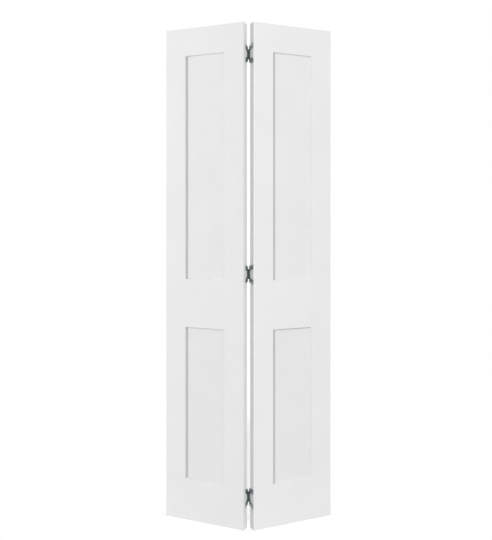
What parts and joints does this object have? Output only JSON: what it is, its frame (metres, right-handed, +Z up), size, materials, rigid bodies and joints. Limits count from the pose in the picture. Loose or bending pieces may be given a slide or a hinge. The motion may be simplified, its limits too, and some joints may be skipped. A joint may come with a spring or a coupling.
{
  "type": "bifold closet door",
  "caption": "White primed hollow-core bifold closet door: tall moulded leaves with sunk panels, hinged at the middle and standing part folded.",
  "frame": {"origin": "on the floor, at the middle of the folded door's bounding box", "axes": "+Z up along the hinge axis, -Y towards the fold and the front faces, +X to the right"},
  "size_m": [0.6806, 0.1706, 2.007],
  "materials": {
    "primed_white": "satin white primer",
    "raw_pine": "planed, bare",
    "core_paper": "bare kraft",
    "hinge_steel": "zinc plated",
    "screw_steel": "zinc plated"
  },
  "bodies": {
    "left_leaf": {"left_front_skin": "primed_white", "left_back_skin": "primed_white", "left_hinge_stile": "primed_white", "left_outer_stile": "primed_white", "left_top_rail": "raw_pine", "left_bottom_rail": "raw_pine", "left_knob_block": "raw_pine", "left_upper_core": "core_paper", "left_lower_core": "core_paper", "bottom_hinge_left_plate": "hinge_steel", "bottom_hinge_left_screws": "screw_steel", "middle_hinge_left_plate": "hinge_steel", "middle_hinge_left_screws": "screw_steel", "top_hinge_left_plate": "hinge_steel", "top_hinge_left_screws": "screw_steel"},
    "right_leaf": {"right_front_skin": "primed_white", "right_back_skin": "primed_white", "right_hinge_stile": "primed_white", "right_outer_stile": "primed_white", "right_top_rail": "raw_pine", "right_bottom_rail": "raw_pine", "right_knob_block": "raw_pine", "right_upper_core": "core_paper", "right_lower_core": "core_paper", "bottom_hinge_right_plate": "hinge_steel", "bottom_hinge_right_screws": "screw_steel", "middle_hinge_right_plate": "hinge_steel", "middle_hinge_right_screws": "screw_steel", "top_hinge_right_plate": "hinge_steel", "top_hinge_right_screws": "screw_steel", "bottom_hinge_pin": "hinge_steel", "middle_hinge_pin": "hinge_steel", "top_hinge_pin": "hinge_steel"}
  },
  "joints": [
    {"name": "fold", "type": "hinge", "parent": "left_leaf", "child": "right_leaf", "pos_m": [0, -0.04823, 0], "axis": [0, 0, 1], "range_deg": [-47, 133]}
  ]
}
